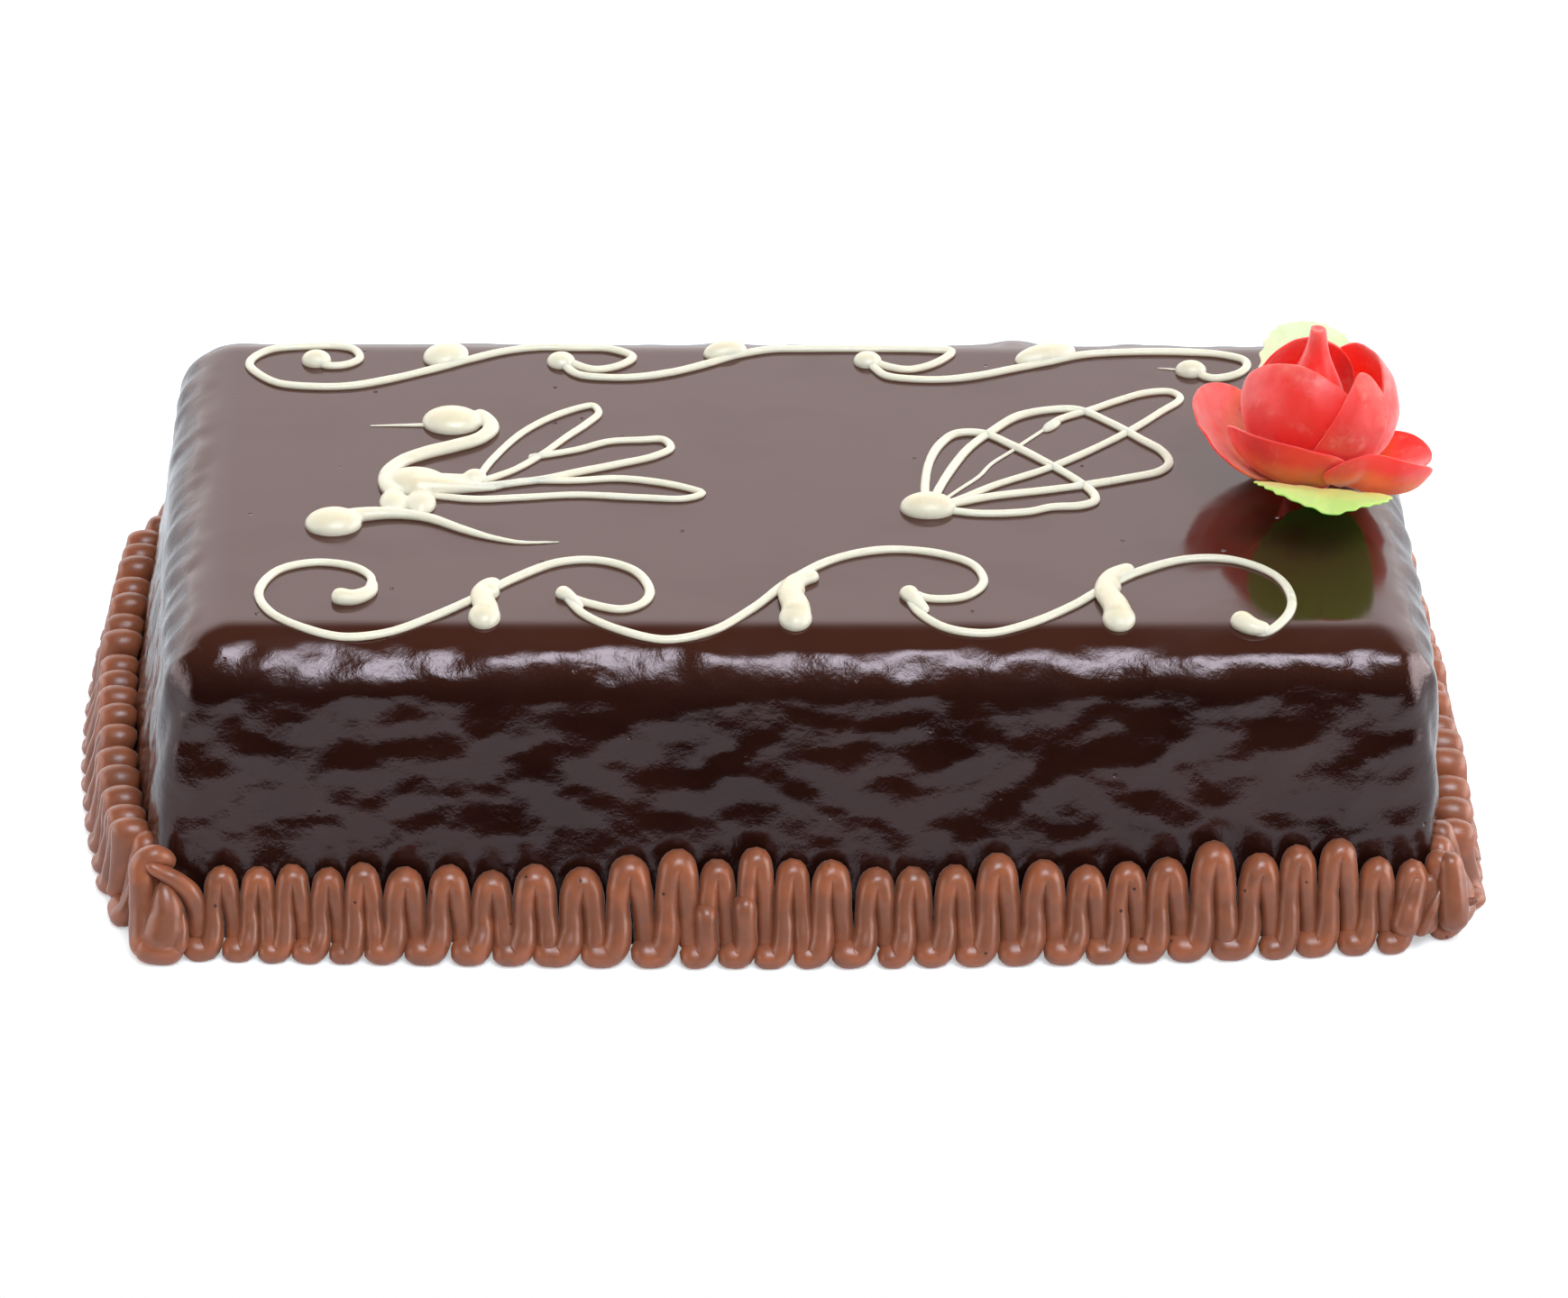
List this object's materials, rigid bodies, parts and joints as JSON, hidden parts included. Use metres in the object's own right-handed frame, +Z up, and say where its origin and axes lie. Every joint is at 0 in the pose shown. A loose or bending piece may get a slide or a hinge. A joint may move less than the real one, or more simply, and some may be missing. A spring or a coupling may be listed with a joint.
{
  "type": "glazed rectangular layer cake",
  "caption": "Whole rectangular layer cake under a dark poured glaze, with a piped cream border round its foot, white piped ornament on top and a red wafer rose with green leaves.",
  "frame": {"origin": "middle of the cake's footprint on the surface that it stands on", "axes": "+X along the cake's long side, towards the rose; +Y from the front side to the back side; +Z up"},
  "size_m": [0.2816, 0.1649, 0.0996],
  "materials": {
    "chocolate_glaze": "glossy poured dark chocolate glaze with soft folds, pits and streaks",
    "border_cream": "satin brown buttercream rope with soft highlights",
    "white_piping": "glossy ivory piping, slightly yellower where it is thick",
    "wafer_petal": "thin red edible wafer, matt and slightly translucent",
    "wafer_leaf": "thin light green edible wafer, matt"
  },
  "bodies": {
    "root": {"glazed_cake": "chocolate_glaze", "border_front": "border_cream", "border_right": "border_cream", "border_back": "border_cream", "border_left": "border_cream", "corner_front_left": "border_cream", "corner_front_right": "border_cream", "corner_back_right": "border_cream", "corner_back_left": "border_cream", "scrolls_front": "white_piping", "scrolls_back": "white_piping", "piped_bird": "white_piping", "piped_fan": "white_piping", "rose_bud": "wafer_petal", "petal_inner_1": "wafer_petal", "petal_inner_2": "wafer_petal", "petal_inner_3": "wafer_petal", "petal_inner_4": "wafer_petal", "petal_outer_1": "wafer_petal", "petal_outer_2": "wafer_petal", "petal_outer_3": "wafer_petal", "petal_outer_4": "wafer_petal", "petal_outer_5": "wafer_petal", "petal_outer_6": "wafer_petal", "leaf_front": "wafer_leaf", "leaf_back": "wafer_leaf"}
  },
  "joints": []
}
